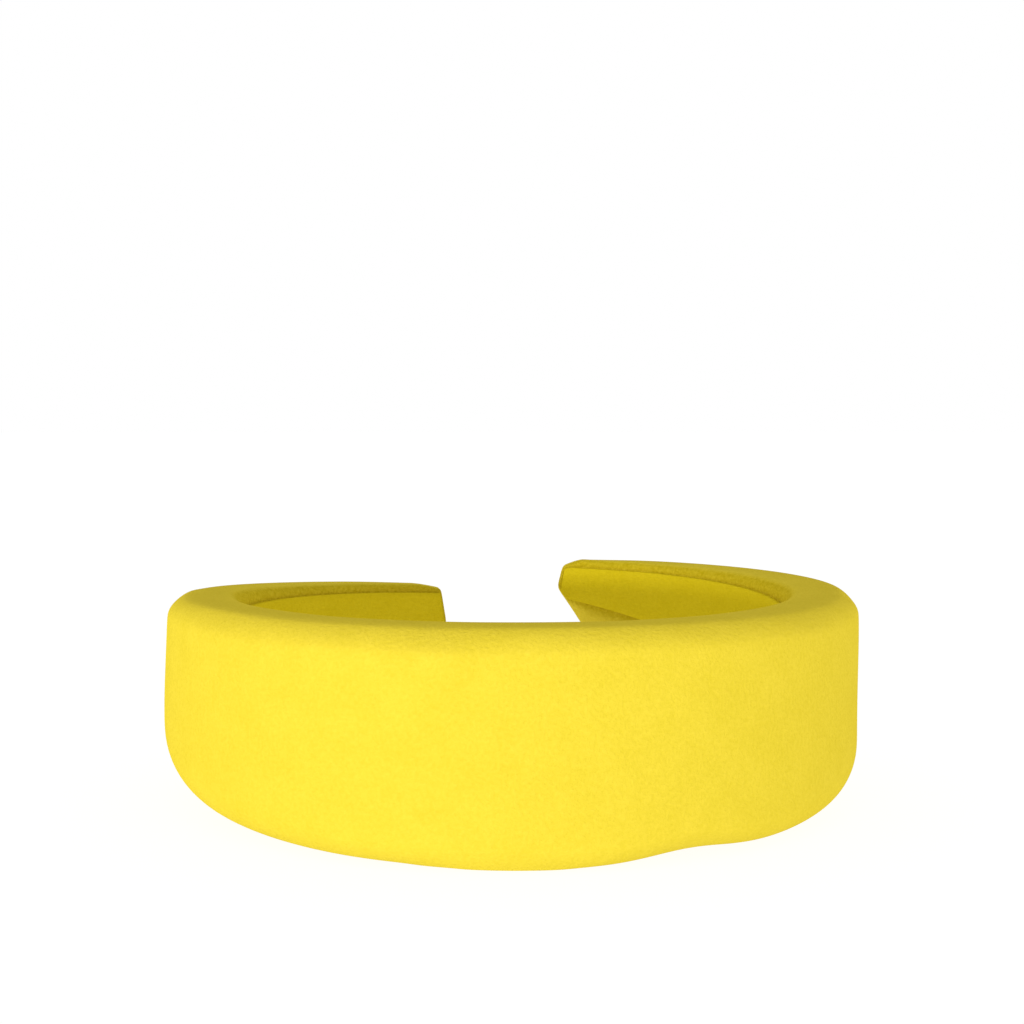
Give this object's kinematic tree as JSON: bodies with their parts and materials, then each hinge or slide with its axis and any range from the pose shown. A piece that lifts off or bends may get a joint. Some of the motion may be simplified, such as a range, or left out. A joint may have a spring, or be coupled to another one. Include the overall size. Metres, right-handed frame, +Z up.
{
  "type": "padded headband",
  "caption": "Padded velvet hair band: an open ring of foam-covered plastic, flat on its lower rim, with two tapered tips and a lining strip inside.",
  "frame": {"origin": "on the floor under the centre of the band's bounding box, with the band lying on its lower rim", "axes": "+Z up from the floor, -Y towards the crown of the band, +Y towards the gap between the tips, +X to the wearer's side that holds the higher tip"},
  "size_m": [0.15, 0.1395, 0.0462],
  "materials": {
    "velvet_cover": "short-pile yellow velvet",
    "velvet_lining": "short-pile yellow velvet strip",
    "foam": "open-cell polyurethane foam, cream",
    "spring_plastic": "moulded ABS, natural white",
    "tape": "double-sided adhesive tape",
    "glue": "hot-melt glue, cloudy"
  },
  "bodies": {
    "root": {"outer_cover": "velvet_cover", "inner_lining": "velvet_lining", "foam_pad": "foam", "spring_band": "spring_plastic", "foam_tape": "tape", "lining_glue": "glue"}
  },
  "joints": []
}
